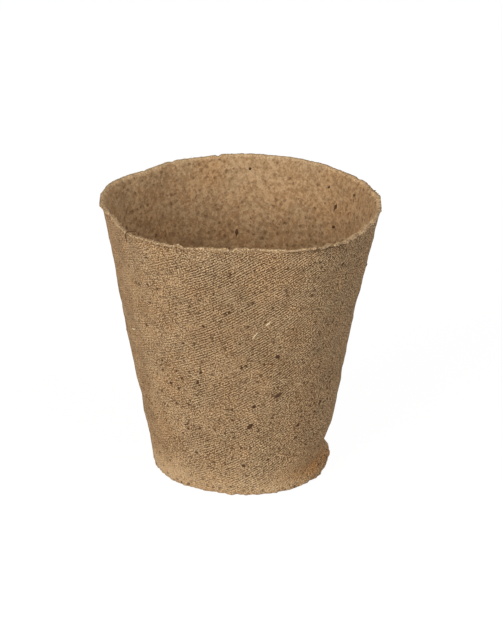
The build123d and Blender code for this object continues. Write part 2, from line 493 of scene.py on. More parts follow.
def build_wire_imprint():
    """The mark of the mould's wire cloth: a net of beads, each of its own strength."""
    values = {"Pitch Across": 0.7, "Pitch Along": 0.74, "Wander": 0.8}
    tree, given, wanted = new_group("Wire Cloth Imprint", values, ("Height",))
    moved = given["Vector"]
    for scale, reach in ((0.16, given["Wander"]), (1.2, 0.16)):
        drift = noise_at(tree, given["Vector"], scale, 2.0)
        values = {0: drift.outputs["Color"], "Scale": reach}
        shift = add_node(tree, "ShaderNodeVectorMath", values, operation="SCALE")
        values = {0: moved, 1: shift.outputs["Vector"]}
        moved = add_node(tree, "ShaderNodeVectorMath", values, operation="ADD").outputs["Vector"]
    parts = add_node(tree, "ShaderNodeSeparateXYZ", {"Vector": moved})
    across = calc(tree, "DIVIDE", parts.outputs["Y"], given["Pitch Across"])
    along = calc(tree, "DIVIDE", parts.outputs["X"], given["Pitch Along"])
    ridges, knots = (wave(tree, place, 2 * pi) for place in (across, along))
    halves = [wave(tree, place, pi) for place in (across, along)]
    weave = calc(tree, "MULTIPLY", calc(tree, "MULTIPLY", *halves), 0.10)
    weave = calc(tree, "MULTIPLY_ADD", ridges, 0.37, weave)
    weave = calc(tree, "MULTIPLY_ADD", knots, 0.09, weave)
    bead = {"X": calc(tree, "ROUND", along), "Y": calc(tree, "ROUND", across)}
    cell = add_node(tree, "ShaderNodeCombineXYZ", bead).outputs["Vector"]
    chance = add_node(tree, "ShaderNodeTexWhiteNoise", {"Vector": cell}, noise_dimensions="2D")
    strength = calc(tree, "MULTIPLY_ADD", chance.outputs["Value"], 0.7, 0.5)
    plug(tree, wanted["Height"], calc(tree, "MULTIPLY_ADD", weave, strength, 0.5))


def build_pulp_mottle():
    """Blotches, grain and pits of dried pulp."""
    values = {"Blotch Scale": 0.25, "Grain Scale": 1.6}
    tree, given, wanted = new_group("Pulp Mottle", values, ("Grain", "Blotch", "Pits", "Warmth"))
    grain = noise_at(tree, given["Vector"], given["Grain Scale"], 1.5, 0.55, 0.5)
    blotch = noise_at(tree, place_vector(tree, given["Vector"], (9, 4, 2)), given["Blotch Scale"], 1.5, 0.5)
    pit_scale = calc(tree, "MULTIPLY", given["Grain Scale"], 0.8)
    pits = noise_at(tree, place_vector(tree, given["Vector"], (5, 41, 3)), pit_scale, 2.0, 0.5, 0.8)
    broad = noise_at(tree, place_vector(tree, given["Vector"], (31, 17, 5)), 0.10, 4.0, 0.72)
    plug(tree, wanted["Grain"], fit(tree, grain.outputs["Fac"], 0.32, 0.68))
    plug(tree, wanted["Blotch"], fit(tree, blotch.outputs["Fac"], 0.33, 0.67))
    plug(tree, wanted["Pits"], fit(tree, pits.outputs["Fac"], 0.60, 0.72))
    plug(tree, wanted["Warmth"], fit(tree, broad.outputs["Fac"], 0.35, 0.65))


def build_pressed_fibres():
    """Short fibres that lie every way in the pulp."""
    values = {"Length Scale": 0.55, "Width Scale": 4.5, "Amount": 0.5}
    tree, given, wanted = new_group("Pressed Fibres", values, ("Mask",))
    combined = None
    for step, turn in enumerate((0.35, 1.25, 2.2, 2.85)):
        turned = place_vector(tree, given["Vector"], (step * 7.3, step * 3.1, 0), turn)
        parts = add_node(tree, "ShaderNodeSeparateXYZ", {"Vector": turned})
        along = calc(tree, "MULTIPLY", parts.outputs["X"], given["Length Scale"])
        across = calc(tree, "MULTIPLY", parts.outputs["Y"], given["Width Scale"])
        stretched = add_node(tree, "ShaderNodeCombineXYZ", {"X": along, "Y": across, "Z": float(step)})
        strands = noise_at(tree, stretched.outputs["Vector"], 1.0, 1.0, 0.4, 0.3)
        low = calc(tree, "SUBTRACT", 0.74, calc(tree, "MULTIPLY", given["Amount"], 0.16))
        mask = fit(tree, strands.outputs["Fac"], low, 0.80)
        combined = mask if combined is None else calc(tree, "MAXIMUM", combined, mask)
    plug(tree, wanted["Mask"], combined)


def build_bark_specks():
    """Fine dark specks, each with its own size and shape, in some cells of a loose net."""
    values = {"Cell Scale": 0.5, "Share": 0.4, "Radius": 0.16}
    tree, given, wanted = new_group("Bark Specks", values, ("Mask",))
    rough_edge = noise_at(tree, given["Vector"], 2.0, 2.0)
    values = {0: rough_edge.outputs["Color"], 1: (0.9, 0.9, 0.0), 2: given["Vector"]}
    moved = add_node(tree, "ShaderNodeVectorMath", values, operation="MULTIPLY_ADD").outputs["Vector"]
    values = {"Vector": moved, "Scale": given["Cell Scale"], "Randomness": 1.0}
    cells = add_node(tree, "ShaderNodeTexVoronoi", values, voronoi_dimensions="2D", feature="F1")
    chance = add_node(tree, "ShaderNodeSeparateColor", {"Color": cells.outputs["Color"]})
    radius = calc(tree, "MULTIPLY_ADD", chance.outputs["Green"], 0.9, 0.35)
    radius = calc(tree, "MULTIPLY", given["Radius"], radius)
    spot = fit(tree, calc(tree, "DIVIDE", cells.outputs["Distance"], radius), 0.45, 1.25, 1.0, 0.0)
    chosen = calc(tree, "LESS_THAN", chance.outputs["Red"], given["Share"])
    depth = calc(tree, "MULTIPLY_ADD", chance.outputs["Blue"], 0.6, 0.4)
    plug(tree, wanted["Mask"], calc(tree, "MULTIPLY", calc(tree, "MULTIPLY", spot, chosen), depth))


def bare_tree(owner):
    """The emptied node tree of a material or of the world."""
    owner.use_nodes = True
    owner.node_tree.nodes.clear()
    return owner.node_tree


def new_material(name, roughness, shine):
    material = bpy.data.materials.new(name)
    tree = bare_tree(material)
    shader = tree.nodes.new("ShaderNodeBsdfPrincipled")
    shader.inputs["Roughness"].default_value = roughness
    shader.inputs["Specular IOR Level"].default_value = shine
    output = tree.nodes.new("ShaderNodeOutputMaterial")
    tree.links.new(shader.outputs["BSDF"], output.inputs["Surface"])
    return material, tree, shader


def emboss(tree, shader, height, strength, depth):
    """Raises a surface by a height from 0 to 1, to a depth in millimetres."""
    bump = add_node(tree, "ShaderNodeBump", {"Height": height, "Strength": strength, "Distance": depth * MM})
    plug(tree, shader.inputs["Normal"], bump.outputs["Normal"])


def attribute_at(tree, name):
    node = add_node(tree, "ShaderNodeAttribute", attribute_name=name, attribute_type="GEOMETRY")
    return node.outputs["Fac"]


def pulp_ramp(tree, tone, finish):
    """The pulp's colour at a tone from 0 (in a pit) to 1 (a fibre that stands out)."""
    node = tree.nodes.new("ShaderNodeValToRGB")
    node.color_ramp.elements.new(0.5)
    for element, (place, colour) in zip(
        node.color_ramp.elements, ((0.0, finish.pulp_dark), (0.5, finish.pulp), (1.0, finish.pulp_pale))
    ):
        element.position = place
        element.color = (*colour, 1.0)
    plug(tree, node.inputs["Fac"], tone)
    return node.outputs["Color"]


# The pulp's roughness and shine, the bits' shine, and the tints of warm patches and of stains
PULP_ROUGHNESS = 0.92
PULP_SHINE = 0.15
BIT_SHINE = 0.25
WARM_TINT = (1.09, 0.97, 0.86)
STAIN_TINT = (0.86, 0.68, 0.50)


def pulp_material(name, finish, imprint, scales, weights):
    """Dried pulp, with the cloth's imprint or none (1 or 0). The scales are of its blotches and grain,
    and the weights of blotches, grain, pits and relief."""
    material, tree, shader = new_material(name, PULP_ROUGHNESS, PULP_SHINE)
    blotch_scale, grain_scale = scales
    blotch_weight, grain_weight, pit_weight, relief_weight = weights
    cloth = add_node(tree, "ShaderNodeUVMap", uv_map="Cloth").outputs["UV"]
    values = {
        "Vector": place_vector(tree, cloth, turn=-finish.wire_slope),
        "Pitch Across": finish.wire_across / MM,
        "Pitch Along": finish.wire_along / MM,
    }
    wires = use_group(tree, "Wire Cloth Imprint", values)
    values = {"Vector": cloth, "Blotch Scale": blotch_scale, "Grain Scale": grain_scale}
    mottle = use_group(tree, "Pulp Mottle", values)
    fibres = use_group(tree, "Pressed Fibres", {"Vector": cloth, "Amount": 0.55})
    values = {"Length Scale": 0.9, "Width Scale": 3.4, "Amount": 0.35}
    values["Vector"] = place_vector(tree, cloth, (50, 20, 0), 0.6)
    dark_fibres = use_group(tree, "Pressed Fibres", values)
    values = {"Cell Scale": 0.50 + 0.05 * imprint, "Share": 0.6, "Radius": 0.28 - 0.03 * imprint}
    specks = use_group(tree, "Bark Specks", {"Vector": cloth, **values})
    patches = noise_at(tree, cloth, 0.11, 2.0, 0.55)
    worn = fit(tree, patches.outputs["Fac"], 0.36, 0.56, 0.55, 1.0)
    mark = calc(tree, "MULTIPLY", calc(tree, "MULTIPLY", worn, attribute_at(tree, "imprint")), imprint)

    grain = calc(tree, "MULTIPLY", calc(tree, "SUBTRACT", mottle["Grain"], 0.5), attribute_at(tree, "coarse"))
    tone = calc(tree, "MULTIPLY_ADD", grain, grain_weight, 0.5 + 0.05 * imprint)
    blotch = calc(tree, "MULTIPLY_ADD", mottle["Blotch"], blotch_weight, -blotch_weight / 2)
    # The imprint's ridges are painted paler and its hollows darker in the colour: a painted highlight and
    # painted shade on the cloth's marks, on top of their relief
    pressed = calc(tree, "MULTIPLY_ADD", wires["Height"], 1.3, -0.65)
    for part in (blotch, calc(tree, "MULTIPLY", pressed, mark)):
        tone = calc(tree, "ADD", tone, part)
    # Painted light and shade: the inside zone makes the inner wall paler high up and darker low down
    # Painted light: the foot zone makes the pulp paler, for the light bounced up from the floor
    for zone, weight in (("foot", 0.36), ("inside", 0.17), ("shade", -0.45)):
        tone = calc(tree, "MULTIPLY_ADD", attribute_at(tree, zone), weight, tone)
    colour = pulp_ramp(tree, tone, finish)
    pale_rim = calc(tree, "MULTIPLY_ADD", mottle["Grain"], 0.8, 0.15)
    pale_rim = calc(tree, "MULTIPLY", pale_rim, attribute_at(tree, "rim"))
    ochre = calc(tree, "MULTIPLY_ADD", mottle["Blotch"], 0.6, 0.4)
    ochre = calc(tree, "MULTIPLY", ochre, attribute_at(tree, "ochre"))
    layers = (
        (mottle["Warmth"], 0.55, WARM_TINT, "MULTIPLY"),
        (fibres["Mask"], 0.35, finish.pulp_pale, "MIX"),
        (dark_fibres["Mask"], 0.3, finish.pulp_dark, "MIX"),
        # Pits are painted dark: painted shade in the hollows that the relief sinks
        (mottle["Pits"], pit_weight, finish.pulp_dark, "MIX"),
        (specks["Mask"], 0.58 + 0.27 * imprint, finish.speck, "MIX"),
        (pale_rim, 1.0, finish.pulp_pale, "MIX"),
        (ochre, 1.0, STAIN_TINT, "MULTIPLY"),
    )
    for mask, weight, second, blend in layers:
        colour = mix_colours(tree, calc(tree, "MULTIPLY", mask, weight), colour, second, blend)
    plug(tree, shader.inputs["Base Color"], colour)

    relief = calc(tree, "MULTIPLY", wires["Height"], calc(tree, "MULTIPLY", mark, 1.7))
    for mask, weight in ((mottle["Grain"], relief_weight), (mottle["Pits"], -0.4), (fibres["Mask"], 0.35)):
        relief = calc(tree, "MULTIPLY_ADD", mask, weight, relief)
    emboss(tree, shader, relief, 1.0, 0.25)
    return material


def tuft_material(finish):
    """The same pulp on loose tufts, which have no place on the cloth."""
    material, tree, shader = new_material("pulp_tufts", PULP_ROUGHNESS, PULP_SHINE)
    where = add_node(tree, "ShaderNodeTexCoord").outputs["Object"]
    mottle = use_group(tree, "Pulp Mottle", {"Vector": place_vector(tree, where, scale=(1 / MM,) * 3)})
    tone = calc(tree, "MULTIPLY_ADD", mottle["Grain"], 0.6, 0.35)
    plug(tree, shader.inputs["Base Color"], pulp_ramp(tree, tone, finish))
    emboss(tree, shader, mottle["Grain"], 0.6, 0.15)
    return material


def bit_material(name, colour, pale, roughness, streak_scale):
    """Bark, wood or straw, streaked at a scale along each axis."""
    material, tree, shader = new_material(name, roughness, BIT_SHINE)
    where = add_node(tree, "ShaderNodeTexCoord").outputs["Object"]
    streaks = noise_at(tree, place_vector(tree, where, scale=streak_scale), 1.0, 3.0, 0.6).outputs["Fac"]
    plug(tree, shader.inputs["Base Color"], mix_colours(tree, fit(tree, streaks, 0.3, 0.7), colour, pale))
    emboss(tree, shader, streaks, 0.6, 0.1)
    return material


# The rim's bevel, the finely cut band below its top, and how near points are merged, in millimetres
RIM_BEVEL = 0.2
RIM_BAND = 1.8
MERGED = 0.002


def wall_profile(wall):
    """The section's corners from the drain hole's lower edge round to its upper one, as radius, level
    and the number of spans from the corner before."""
    top = wall.height
    bevel = top - RIM_BEVEL
    band = top - RIM_BAND
    ring = wall.foot_radius - wall.foot_ring
    corners = [
        (wall.drain_radius, wall.hollow, 0),
        (ring - wall.hollow, wall.hollow, 4),
        (ring, 0.0, 1),
        (wall.foot_radius - wall.foot_corner, 0.0, 4),
    ]
    for share in (0.04, 0.15, 0.4, 1.0):
        level = share * wall.foot_corner
        corners.append((wall.cone(level) - float(rounding(level, wall.foot_corner)), level, 1))
    corners += [
        (wall.cone(band), band, 100),
        (wall.cone(bevel), bevel, 9),
        (wall.cone(top) - RIM_BEVEL, top, 1),
        (wall.cone(top) - wall.thickness + RIM_BEVEL, top, 3),
        (wall.cone(bevel) - wall.thickness, bevel, 1),
        (wall.cone(band) - wall.thickness, band, 5),
    ]
    low = wall.floor + wall.floor_corner
    corners.append((wall.cone(low) - wall.thickness, low, 38))
    for share in (0.5, 0.2, 0.05, 0.0):
        level = wall.floor + share * wall.floor_corner
        inset = float(rounding(level - wall.floor, wall.floor_corner))
        corners.append((wall.cone(level) - wall.thickness - inset, level, 1))
    corners += [
        (ring, wall.floor, 3),
        (ring - wall.hollow, wall.floor + wall.hollow, 1),
        (wall.drain_radius, wall.floor + wall.hollow, 6),
        (wall.drain_radius, wall.hollow, 2),
    ]
    return corners


def spin_profile(corners, columns):
    """Extrudes a chain of edges through the corners, cuts them and spins them round the pot's axis."""
    select_nothing()
    bpy.ops.mesh.primitive_plane_add(size=MM, location=(0, 0, 0))
    piece = bpy.context.object
    bpy.ops.object.mode_set(mode="EDIT")
    bpy.ops.mesh.select_mode(type="VERT")
    bpy.ops.mesh.merge(type="CENTER")
    radius, level, spans = corners[0]
    bpy.ops.transform.translate(value=(radius * MM, 0, level * MM))
    for next_radius, next_level, spans in corners[1:]:
        step = ((next_radius - radius) * MM / spans, 0, (next_level - level) * MM / spans)
        for span in range(spans):
            bpy.ops.mesh.extrude_region_move(TRANSFORM_OT_translate={"value": step})
        radius, level = next_radius, next_level
    bpy.ops.mesh.select_all(action="SELECT")
    bpy.ops.mesh.remove_doubles(threshold=MERGED * MM)
    bpy.ops.mesh.spin(steps=columns, angle=2 * pi, center=(0, 0, 0), axis=(0, 0, 1))
    bpy.ops.mesh.select_all(action="SELECT")
    bpy.ops.mesh.remove_doubles(threshold=MERGED * MM)
    bpy.ops.mesh.normals_make_consistent(inside=False)
    bpy.ops.object.mode_set(mode="OBJECT")
    return piece


# How far one seed's noise lies from the next one's
SEEDS_APART = (17.3, 5.1, 9.7)


def rough(points, scale, seed):
    """Smooth noise from -1 to 1 at each point, with features of about 1/scale."""
    offset = Vector([seed * apart for apart in SEEDS_APART])
    return np.array([noise.noise(Vector(point) * scale + offset) for point in points])


def roughness_of(points, table):
    return sum(height * rough(points, scale, seed) for scale, seed, height in table)


def press_wall(piece, wall):
    """Moves the spun section into the pot's real shape, and marks its zones. Gives back each point's
    azimuth, its share of the way through the wall, and where it was on the spun section."""
    start = points_of(piece.data) / MM
    x, y, z = start.T
    azimuth = np.degrees(np.arctan2(y, x)) % 360
    radius = np.hypot(x, y)
    depth = np.clip((wall.cone(z) - radius) / wall.thickness, 0, 1)
    depth = np.where(z < wall.floor - 0.2, 0.0, depth)
    outside = 1 - depth
    below = wall.height - z
    on_wall = ease(radius, wall.foot_radius - wall.foot_ring, wall.foot_radius - 2.0)
    directions = np.stack([np.cos(np.radians(azimuth)), np.sin(np.radians(azimuth)), azimuth * 0], 1)

    # The flange that the mould squeezed out, undercut on the outside and ragged along its edge
    ragged = np.clip(roughness_of(directions * wall.rim_radius, RIM_RAGS), -1, 1)
    outside_rise = 1 - ease(below, 0.50, 0.85)
    inside_rise = np.clip(1 - below / wall.fringe_height, 0, 1)
    rise = outside_rise * outside + inside_rise * depth
    reach = wall.fringe(azimuth) * (1.1 + 0.35 * lobe(azimuth, 318, 35)) + wall.flange_least
    flare = reach * np.clip(0.9 + 0.4 * ragged, 0.4, 1.25) * rise
    thinning = wall.thinning(z) * depth * np.clip(1.0 + 0.5 * ragged, 0.4, 1.5)

    # Lumps and dents of the pulp, coarser on the band below the rim at the front left
    band = lobe(azimuth, 243, 26) * swell(below, 2.5, 2.4, 3.5)
    lumps = roughness_of(start, WALL_LUMPS) * on_wall * np.clip(z / 3.0, 0, 1)
    lumps = lumps + band * rough(start, 0.7, 9) * 0.8
    foot_lumps = roughness_of(start, FOOT_LUMPS) * on_wall * (1 - ease(z, 0.5, 3.0))
    off_kink = np.abs((azimuth - wall.kink_azimuth + 180) % 360 - 180)
    kink = wall.kink_depth * np.exp(-off_kink / 7) * swell(z, 42, 40, 34)
    marks = sum(
        -deep * lobe(azimuth, centre, half) * swell(z, level, lower, upper)
        for centre, half, level, lower, upper, deep in OUTSIDE_MARKS
    )
    lip = lobe(azimuth, 348, 58) * swell(z, 2.6, 3.0, 4.5) * outside

    # The torn edge of the rim
    near_rim = ease(z, wall.height - wall.torn_height, wall.height)
    nicks = sum(deep * lobe(azimuth, centre, half) for centre, half, deep in RIM_NICKS)
    edge = rough(start * np.array((1, 1, 0.4)), 0.95, 7) * 0.42 + rough(start, 1.9, 8) * 0.28
    edge = edge * (0.35 + 0.65 * np.maximum(lobe(azimuth, 240, 70), lobe(azimuth, 325, 50)))
    level = z - near_rim * (wall.drop(x, y) + nicks + 0.20 + 0.20 * ragged + np.abs(edge))
    level = level + (lip * rough(start, 0.5, 11) * 0.7) * ease(z, 0.8, 2.5)
    radius = radius + (wall.shift(azimuth, z) + kink) * on_wall + flare + thinning + lumps + foot_lumps
    radius = radius + marks * outside + near_rim * edge * 0.5 + lip * rough(start, 0.42, 12) * 0.8
    radius = radius - on_wall * outside * wall.foot_tuck * np.clip(1 - z / wall.foot_tuck_height, 0, 1) ** 2
    pressed = directions * radius[:, None]
    pressed[:, 2] = level
    set_points(piece.data, np.clip(pressed, *(np.array(corner) / MM for corner in POT_BOX)) * MM)
    mark_zones(piece.data, wall, azimuth, z, depth, ragged, lip, band)
    return azimuth, depth, start


def mark_zones(mesh, wall, azimuth, z, depth, ragged, lip, band):
    """Stores where the pulp's look changes, as numbers that the material reads."""
    outside = 1 - depth
    below = wall.height - z
    creased = outside * lobe(azimuth, 338, 52) * swell(z, 4.2, 2.6, 4.2) * 0.95
    stained = 0.28 * depth * ease(z, 60, 77) * (lobe(azimuth, 25, 50) + lobe(azimuth, 104, 16))
    around = 0.8 * ease(azimuth, 222, 255) * (1 - 0.5 * ease(azimuth, 335, 360))
    around = 0.2 + around + 0.4 * (1 - ease(azimuth, 140, 185))
    up = (0.65 + 0.35 * ease(z, 20, 50)) * ease(z, 0.6, 2.5) * ease(below, 0.7, 1.6)
    left = 0.5 * lobe(azimuth, 200, 42)
    right = 0.8 * lobe(azimuth, 328, 42) * ease(z, 8, 20)
    foot = 1 - ease(z, 1.0, 13.0)
    zones = {
        "imprint": outside * around * up * (1 - lip) * (1 - 0.8 * band),
        "rim": (1 - ease(below, 0.35, 1.0)) * np.clip(0.75 + 0.5 * ragged, 0.2, 1),
        "ochre": np.clip(creased + stained, 0, 1),
        "coarse": 1 - outside * (left - right + 0.25 * (1 - ease(z, 1, 13))),
        "shade": outside * swell(below, 1.4, 0.5, 0.9) * wall.fringe(azimuth) * 1.1,
        # paler towards the foot: painted light, for the light that the floor throws back onto it
        "foot": outside * foot * (1 - 0.8 * lobe(azimuth, 340, 55)),
        # paler high up and darker low down inside: painted light and shade, for the light that falls into the
        # pot over its rim
        "inside": depth * (ease(z, 42.0, 79.0) * 1.45 - 0.45 - 0.3 * lobe(azimuth, 20, 60)),
    }
    for name, values in zones.items():
        attribute = mesh.attributes.new(name, "FLOAT", "POINT")
        attribute.data.foreach_set("value", values.astype(np.float32))


def face_corners(mesh):
    """The points of each face, four to a face."""
    corners = np.empty(len(mesh.loops), np.int32)
    mesh.loops.foreach_get("vertex_index", corners)
    return corners.reshape(-1, 4)


def lay_out_cloth(mesh, wall, azimuth, depth, start):
    """A UV map in millimetres on the wall laid out flat, with its seam at the back. The inside and the
    floor lie apart from the outside."""
    corners = face_corners(mesh)
    x, y, z = (start[corners, axis] for axis in range(3))
    around = (azimuth[corners] - CLOTH_SEAM) % 360
    over_seam = np.ptp(around, axis=1, keepdims=True) > 180
    around = np.where(over_seam & (around < 180), around + 360, around)
    turn = np.radians(around - 180) * sin(wall.slope)
    slant = (z + wall.foot_radius / wall.taper) / cos(wall.slope) - depth[corners] * wall.thickness
    on_floor = (z < wall.floor + wall.hollow + 0.1) & (np.hypot(x, y) < wall.foot_radius - 1.4)
    u = np.where(depth[corners] > 0.5, INSIDE_APART, 0.0) + slant * np.sin(turn)
    u = np.where(on_floor, x + FLOOR_APART, u)
    v = np.where(on_floor, y, slant * np.cos(turn))
    layer = mesh.uv_layers.new(name="Cloth")
    layer.data.foreach_set("uv", np.stack([u, v], 2).astype(np.float32).ravel())


def paint_inside(mesh, wall, depth, start):
    """Gives the faces inside the pot its second material."""
    corners = face_corners(mesh)
    within = depth[corners].sum(axis=1) / 4 > 0.4
    upright = start[corners[:, 0], 2] > wall.floor - 0.1
    mesh.polygons.foreach_set("material_index", (within & upright).astype(np.int32))
    mesh.update()


class PEATPOT_OT_wall(Operator):
    """Makes the pressed wall: a section spun round and pressed into the pot's warped shape"""

    bl_idname = "peat_pot.wall"
    bl_label = "Pressed Wall"

    def execute(self, context):
        wall, finish = settings_of(context)
        piece = spin_profile(wall_profile(wall), wall.columns)
        piece.name = "pressed_wall"
        piece.data.name = "pressed_wall"
        azimuth, depth, start = press_wall(piece, wall)
        lay_out_cloth(piece.data, wall, azimuth, depth, start)
        outside = pulp_material("pulp_outside", finish, 1.0, (0.25, 2.8), (0.15, 1.15, 0.55, 0.60))
        inside = pulp_material("pulp_inside", finish, 0.0, (0.80, 1.7), (0.22, 0.15, 0.32, 0.20))
        finish_piece(piece, "pot", outside, PULP_EDGES)
        piece.data.materials.append(inside)
        paint_inside(piece.data, wall, depth, start)
        return {"FINISHED"}


# Rays to the wall start this far from the pot's axis, or this high above the floor, in metres
RAY_START = 0.2
RAY_HEIGHT = 0.1

# In millimetres: how far below the top the rim's width is read, inside and outside, how much further
# out its flange reaches, and how far below the top a spot still lies on the rim
RIM_READ_INSIDE = 1.6
RIM_READ_OUTSIDE = 1.0
RIM_FLANGE = 0.3
RIM_LOWEST = 4


def outward(azimuth):
    return Vector((cos(radians(azimuth)), sin(radians(azimuth)), 0))


def wall_spot(shell, wall, azimuth, level, side):
    """A point and an outward normal on the pressed wall, seen from outside (1) or from inside (-1)."""
    direction = outward(azimuth)
    start = direction * (RAY_START if side > 0 else 0.0) + Vector((0, 0, level * MM))
    spot, normal = shell.ray_cast(start, -direction if side > 0 else direction)[:2]
    if spot is None:
        raise RuntimeError(f"no wall at azimuth {azimuth} and level {level}")
    if normal.dot(direction) * side < 0:
        normal = -normal
    return spot, normal


def rim_spot(shell, wall, azimuth, share):
    """A point on top of the rim, at a share of its width from the inside, and its normal."""
    direction = outward(azimuth)
    inside = wall_spot(shell, wall, azimuth, wall.height - RIM_READ_INSIDE, -1)[0]
    outside = wall_spot(shell, wall, azimuth, wall.height - RIM_READ_OUTSIDE, 1)[0]
    inner, outer = (hypot(spot.x, spot.y) for spot in (inside, outside))
    start = direction * (inner + (outer + RIM_FLANGE * MM - inner) * share) + Vector((0, 0, RAY_HEIGHT))
    spot, normal = shell.ray_cast(start, Vector((0, 0, -1)))[:2]
    if spot is None or spot.z < (wall.height - RIM_LOWEST) * MM:
        return outside, direction
    return spot, normal


def wall_frame(spot, normal, turn):
    """A matrix that lays a bit on the wall, with X along its slope and Z out of the wall."""
    up = Vector((0, 0, 1)) if abs(normal.z) < 0.9 else Vector((0, 1, 0))
    along = up.cross(normal).normalized()
    over = normal.cross(along)
    matrix = Matrix((along, over, normal)).transposed().to_4x4()
    matrix.translation = spot
    return matrix @ Matrix.Rotation(radians(turn), 4, "Z")


def shell_tree():
    piece = bpy.data.objects["pressed_wall"]
    return BVHTree.FromObject(piece, bpy.context.evaluated_depsgraph_get())


def inside_pot_box(points):
    low, high = (np.array(corner) for corner in POT_BOX)
    return bool((points >= low).all() and (points <= high).all())


def add_lump(length, width, thickness, seed, detail=2, jitter=0.35):
    """A rough lump of bark, wood or pulp: a ball dented by noise and drawn out to its sizes."""
    select_nothing()
    bpy.ops.mesh.primitive_ico_sphere_add(subdivisions=detail, radius=0.5, location=(0, 0, 0))
    piece = bpy.context.object
    points = points_of(piece.data)
    draws = np.random.default_rng(seed)
    for index, point in enumerate(points):
        swing = noise.noise(Vector(point) * 2.4 + Vector((seed * 3.7, seed * 1.9, 0)))
        points[index] = point * (1 + jitter * swing * 1.6)
    points[:, 0] += draws.uniform(-0.12, 0.12) * points[:, 1]
    set_points(piece.data, points * np.array((length, width, thickness)) * MM)
    return piece


def scatter_lump(seeds, step, spot, normal, size, draws, sunk, longest, flat):
    """A copy of one of the lumps, sunk by a share of its size, turned, drawn out and flattened."""
    matrix = wall_frame(spot - normal * sunk * size * MM, normal, draws.uniform(0, 180))
    stretch = Matrix.Diagonal((size * draws.uniform(*longest), size, size * flat, 1))
    seed = seeds[step % len(seeds)]
    copied = seed.copy()
    copied.data = seed.data.copy()
    bpy.context.collection.objects.link(copied)
    copied.data.transform(matrix @ stretch)
    return copied


def lay_on_wall(piece, shell, wall, side, azimuth, share, sunk, turn):
    """Lays a bit at a share of the pot's height, sunk into the wall by a depth in millimetres."""
    spot, normal = wall_spot(shell, wall, azimuth, share * wall.height, side)
    piece.data.transform(wall_frame(spot - normal * sunk * MM, normal, turn))


def remove_pieces(pieces):
    for piece in pieces:
        bpy.data.objects.remove(piece)


def on_both_sides(outside, inside):
    return [(1, *place) for place in outside] + [(-1, *place) for place in inside]


def spread_back_crumbs():
    """Places for crumbs on the side that the photograph doesn't show, from low to high."""
    low, high = BACK_SHARES
    for step in range(BACK_CRUMBS):
        azimuth = (BACK_START + BACK_SPAN * (step * GOLDEN_SHARE % 1)) % 360
        share = low + (high - low) * step / (BACK_CRUMBS - 1)
        yield azimuth, share, BACK_SIZE * BACK_SIZE_SHARES[step % len(BACK_SIZE_SHARES)], step * 50


class PEATPOT_OT_bark_crumbs(Operator):
    """Makes the crumbs of bark, large and small, caught in both sides of the wall"""

    bl_idname = "peat_pot.bark_crumbs"
    bl_label = "Bark Crumbs"

    def execute(self, context):
        wall, finish = settings_of(context)
        shell = shell_tree()
        crumbs = []
        places = on_both_sides((*OUTSIDE_CRUMBS, *spread_back_crumbs()), INSIDE_CRUMBS)
        for seed, (side, azimuth, share, size, turn) in enumerate(places):
            lump = add_lump(size * 1.3, size * 1.05, CRUMB_THICKNESS, seed + 1)
            lay_on_wall(lump, shell, wall, side, azimuth, share, CRUMB_SUNK, turn)
            crumbs.append(lump)
        draws = random.Random(11)
        seeds = [add_lump(1.0, 0.7, 0.6, 100 + step, detail=1, jitter=0.5) for step in range(5)]
        for step in range(SMALL_CRUMBS):
            side = 1 if step % 5 < 4 else -1
            azimuth = draws.uniform(0, 360)
            level = wall.height * (0.04 + 0.93 * draws.random() ** 0.8)
            if side < 0:
                level = max(level, LOWEST_INSIDE)
            size = 0.22 + 0.34 * draws.random() ** 2.5
            spot, normal = wall_spot(shell, wall, azimuth, min(level, wall.height - CRUMBS_BELOW_RIM), side)
            crumbs.append(scatter_lump(seeds, step, spot, normal, size, draws, 0.1, (0.8, 1.6), 0.5))
        remove_pieces(seeds)
        piece = join_pieces(crumbs, "bark_crumbs_lumps")
        material = bit_material("bark", finish.bark, shaded(finish.bark, 1.8), 0.85, (1800, 1800, 1800))
        finish_piece(piece, "bark_crumbs", material, BIT_EDGES)
        return {"FINISHED"}


class PEATPOT_OT_wood_slivers(Operator):
    """Makes the dark slivers of wood that lie in the wall"""

    bl_idname = "peat_pot.wood_slivers"
    bl_label = "Wood Slivers"

    def execute(self, context):
        wall, finish = settings_of(context)
        shell = shell_tree()
        slivers = []
        places = on_both_sides(OUTSIDE_SLIVERS, INSIDE_SLIVERS)
        for seed, (side, azimuth, share, length, width, slope) in enumerate(places):
            lump = add_lump(length, width * 0.95, SLIVER_THICKNESS, 40 + seed, detail=3, jitter=0.3)
            points = points_of(lump.data)
            narrow = 1 - 0.55 * np.abs(points[:, 0] / (length * MM / 2)) ** 1.5
            points[:, 1] *= np.clip(narrow, 0.2, 1)
            set_points(lump.data, points)
            lay_on_wall(lump, shell, wall, side, azimuth, share, SLIVER_SUNK, slope)
            slivers.append(lump)
        piece = join_pieces(slivers, "wood_slivers_lumps")
        dark, paler = (shaded(finish.bark, share) for share in (0.75, 2.0))
        material = bit_material("dark_wood", dark, paler, 0.75, (900, 2600, 900))
        finish_piece(piece, "wood_slivers", material, BIT_EDGES)
        return {"FINISHED"}


def add_strand(points, thickness, name):
    """A tapering strand swept along a smooth line, as a closed mesh."""
    curve = bpy.data.curves.new(name, "CURVE")
    curve.dimensions = "3D"
    curve.bevel_depth = thickness / 2
    curve.bevel_resolution = 1
    curve.resolution_u = 4
    curve.use_fill_caps = True
    spline = curve.splines.new("NURBS")
    spline.points.add(len(points) - 1)
    for index, (place, point) in enumerate(zip(spline.points, points)):
        place.co = (*point, 1)
        place.radius = 1.0 - 0.45 * abs(2 * index / (len(points) - 1) - 1) ** 3
    spline.order_u = 3
    spline.use_endpoint_u = True
    strand = bpy.data.objects.new(name, curve)
    bpy.context.collection.objects.link(strand)
    make_active(strand)
    bpy.ops.object.convert(target="MESH")
    return bpy.context.object


